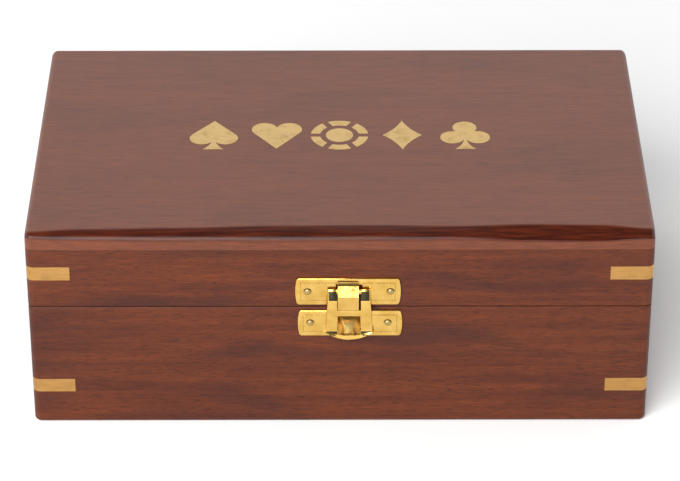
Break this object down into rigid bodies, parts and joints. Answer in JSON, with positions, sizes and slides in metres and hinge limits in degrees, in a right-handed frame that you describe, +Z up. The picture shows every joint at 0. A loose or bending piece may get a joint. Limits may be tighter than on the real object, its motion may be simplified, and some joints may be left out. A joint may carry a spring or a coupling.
{
  "type": "poker chip case",
  "caption": "Hinged wooden case with chip wells and card wells, brass corner strips, card-suit inlays in the lid, and a swinging brass hasp that drops over a pyramid catch.",
  "frame": {"origin": "centre of the underside of the base", "axes": "+Z up through the lid, +X to the right along the longest side, the front with the latch faces -Y"},
  "size_m": [0.23, 0.1468, 0.0827],
  "materials": {
    "rosewood": "satin lacquer, reddish brown with dark pores",
    "inner_wood": "satin, same wood as the walls",
    "brushed_brass": "pale, sanded along its length",
    "polished_brass": "polished yellow brass",
    "lining": "dark green felt"
  },
  "bodies": {
    "base": {"base_front_wall": "rosewood", "base_back_wall": "rosewood", "base_left_wall": "rosewood", "base_right_wall": "rosewood", "base_bottom_panel": "rosewood", "base_corner_strip_front_left": "brushed_brass", "base_corner_strip_front_right": "brushed_brass", "base_corner_strip_rear_left": "brushed_brass", "base_corner_strip_rear_right": "brushed_brass", "long_divider": "inner_wood", "chip_divider_1": "inner_wood", "chip_divider_2": "inner_wood", "chip_divider_3": "inner_wood", "chip_divider_4": "inner_wood", "card_divider": "inner_wood", "chip_well_felts": "lining", "card_well_felts": "lining", "hinge_left_base_leaf": "polished_brass", "hinge_right_base_leaf": "polished_brass", "base_hinge_screws": "polished_brass", "hinge_left_pin": "polished_brass", "hinge_right_pin": "polished_brass", "latch_catch_plate": "polished_brass", "latch_catch_nails": "polished_brass"},
    "lid": {"lid_top_panel": "rosewood", "lid_front_wall": "rosewood", "lid_back_wall": "rosewood", "lid_left_wall": "rosewood", "lid_right_wall": "rosewood", "lid_corner_strip_front_left": "brushed_brass", "lid_corner_strip_front_right": "brushed_brass", "lid_corner_strip_rear_left": "brushed_brass", "lid_corner_strip_rear_right": "brushed_brass", "lid_lining": "lining", "inlay_spade": "brushed_brass", "inlay_heart": "brushed_brass", "inlay_chip_roundel": "brushed_brass", "inlay_diamond": "brushed_brass", "inlay_club": "brushed_brass", "hinge_left_lid_leaf": "polished_brass", "hinge_right_lid_leaf": "polished_brass", "lid_hinge_screws": "polished_brass", "latch_hinge_plate": "polished_brass", "latch_plate_nails": "polished_brass"},
    "hasp": {"latch_hasp": "polished_brass"}
  },
  "joints": [
    {"name": "lid_hinge", "type": "hinge", "parent": "base", "child": "lid", "pos_m": [0, 0.0684, 0.0514], "axis": [-1, 0, 0], "range_deg": [0, 100]},
    {"name": "hasp_swing", "type": "hinge", "parent": "lid", "child": "hasp", "pos_m": [0.0033, -0.07295, 0.0594], "axis": [-1, 0, 0], "range_deg": [0, 150]}
  ]
}
